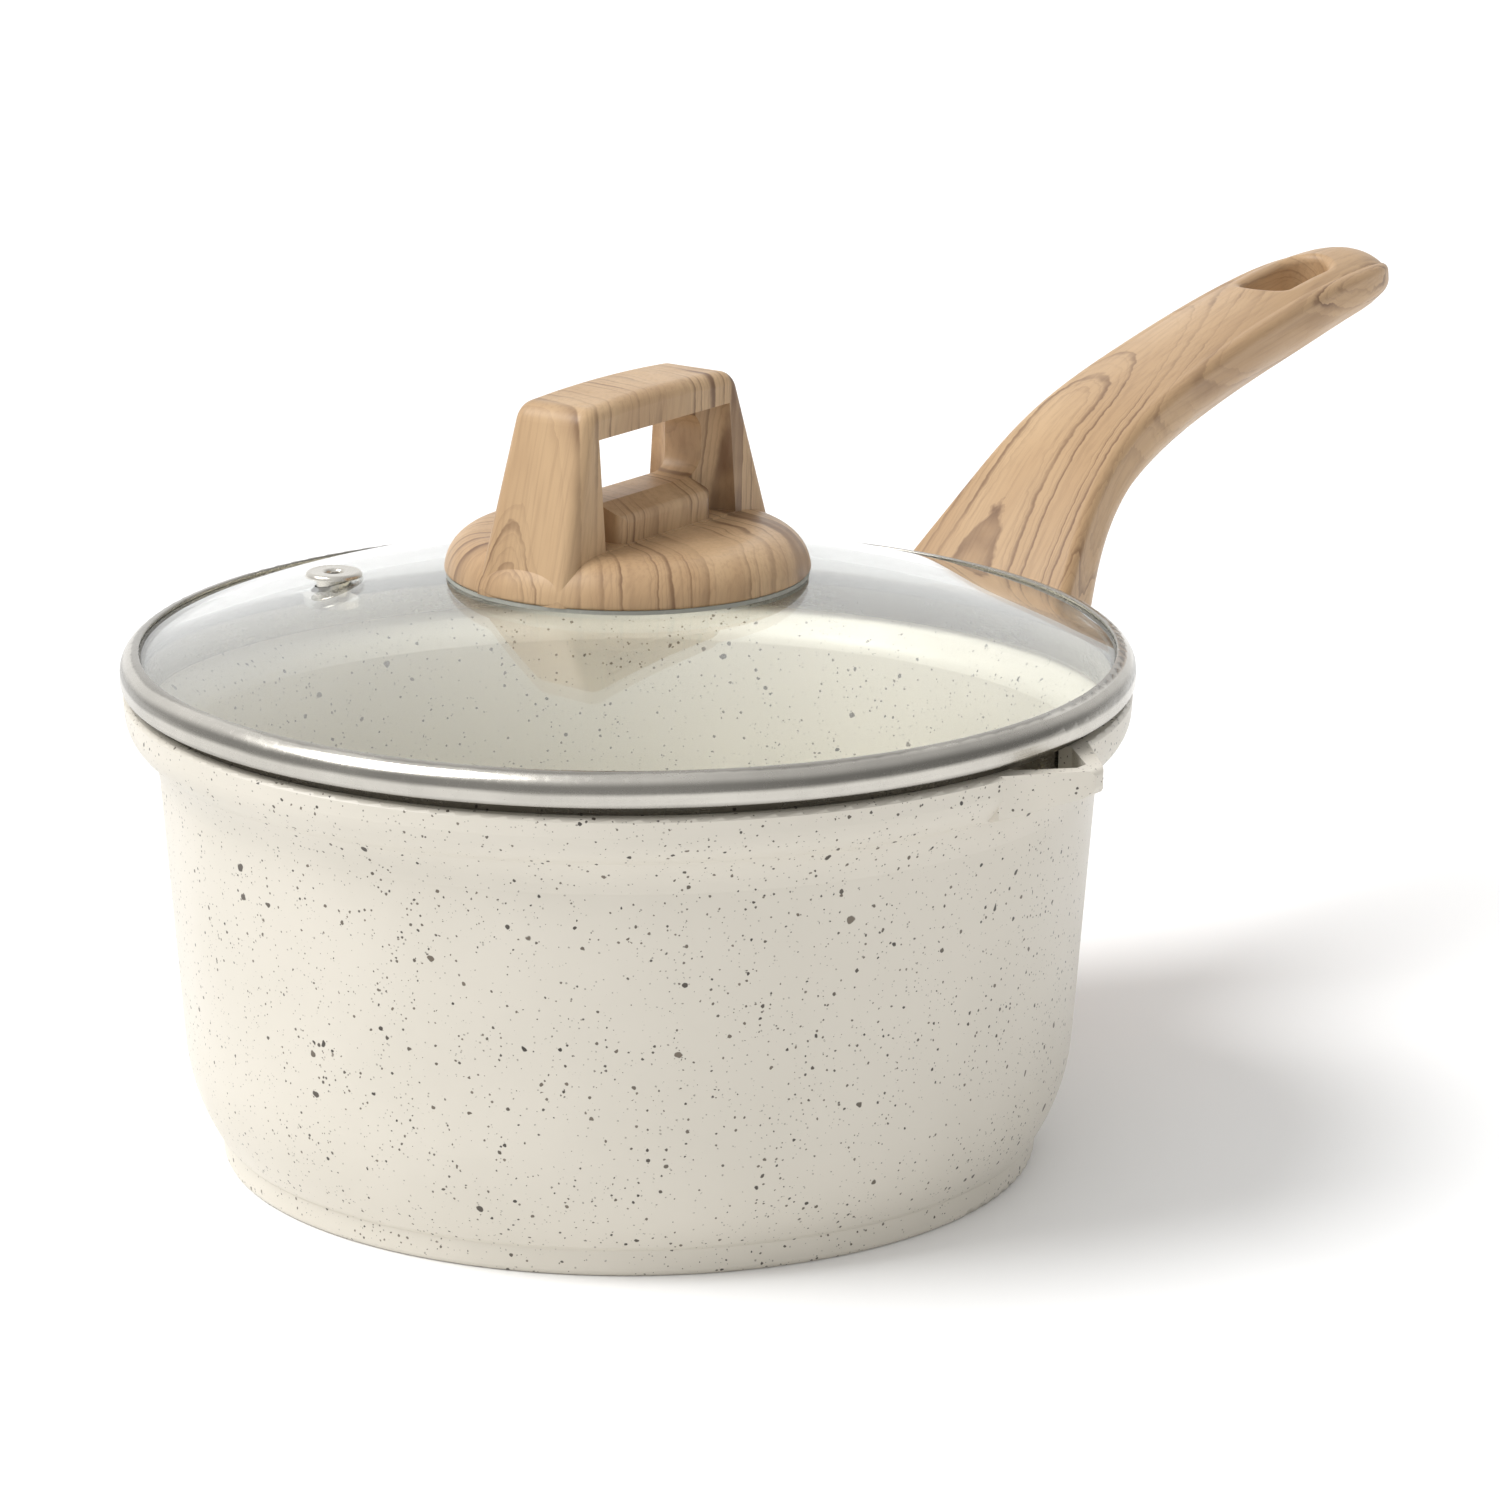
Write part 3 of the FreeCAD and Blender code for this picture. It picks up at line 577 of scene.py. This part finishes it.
class SAUCEPAN_OT_stage(bpy.types.Operator):
    """Set the floor, the soft light and the camera"""
    bl_idname = "saucepan.stage"
    bl_label = "Stage"

    def execute(self, context):
        settings = context.scene.saucepan_stage
        half = settings.half_floor
        mesh = bpy.data.meshes.new("floor")
        corners = [(-half, -half, 0), (half, -half, 0), (half, half, 0), (-half, half, 0)]
        mesh.from_pydata(corners, [], [(0, 1, 2, 3)])
        mesh.materials.append(floor_material(settings))
        floor = bpy.data.objects.new("floor", mesh)
        context.scene.collection.objects.link(floor)

        right, up, forward = camera_axes()
        data = bpy.data.cameras.new("camera")
        data.lens = settings.lens
        data.shift_x = PAN_AXIS_SHIFT
        data.clip_start = 0.01
        data.clip_end = 100.0
        camera = bpy.data.objects.new("camera", data)
        turn = Matrix((right, up, -forward)).transposed().to_4x4()
        camera.matrix_world = Matrix.Translation(CAMERA_TARGET - forward * CAMERA_DISTANCE) @ turn
        context.scene.collection.objects.link(camera)
        context.scene.camera = camera

        away = Vector((forward.x, forward.y, 0)).normalized()
        side = Vector((right.x, right.y, 0)).normalized()
        key = side * -KEY_LEFT - away * KEY_NEAR + Vector((0, 0, KEY_HIGH))
        add_sun("key_lamp", key, settings.key_power)

        world = bpy.data.worlds.new("room")
        world.use_nodes = True
        background = world.node_tree.nodes["Background"]
        room_light(world.node_tree, background, side, away, settings.world_light)
        context.scene.world = world
        context.scene.view_settings.view_transform = "Standard"
        return {"FINISHED"}


OPERATORS = (SAUCEPAN_OT_pan, SAUCEPAN_OT_handle, SAUCEPAN_OT_lid, SAUCEPAN_OT_knob, SAUCEPAN_OT_stage)
SETTINGS = {"saucepan_pan": PanSettings, "saucepan_wood": WoodSettings, "saucepan_lid": LidSettings,
            "saucepan_stage": StageSettings}


class SAUCEPAN_PT_pieces(bpy.types.Panel):
    """Buttons that build each group of pieces"""
    bl_label = "Saucepan"
    bl_idname = "SAUCEPAN_PT_pieces"
    bl_space_type = "VIEW_3D"
    bl_region_type = "UI"
    bl_category = "Saucepan"

    def draw(self, context):
        for operator in OPERATORS:
            self.layout.operator(operator.bl_idname)
        for name in SETTINGS:
            group = getattr(context.scene, name)
            for key in group.bl_rna.properties.keys():
                if key not in ("rna_type", "name"):
                    self.layout.prop(group, key)


def register():
    for kind in (*SETTINGS.values(), *OPERATORS, SAUCEPAN_PT_pieces):
        bpy.utils.register_class(kind)
    for name, kind in SETTINGS.items():
        setattr(bpy.types.Scene, name, PointerProperty(type=kind))


def unregister():
    for name in SETTINGS:
        delattr(bpy.types.Scene, name)
    for kind in (SAUCEPAN_PT_pieces, *OPERATORS, *SETTINGS.values()):
        bpy.utils.unregister_class(kind)


def main():
    register()
    build_groups()
    for operator in OPERATORS:
        family, name = operator.bl_idname.split(".")
        getattr(getattr(bpy.ops, family), name)()


if __name__ == "__main__":
    main()
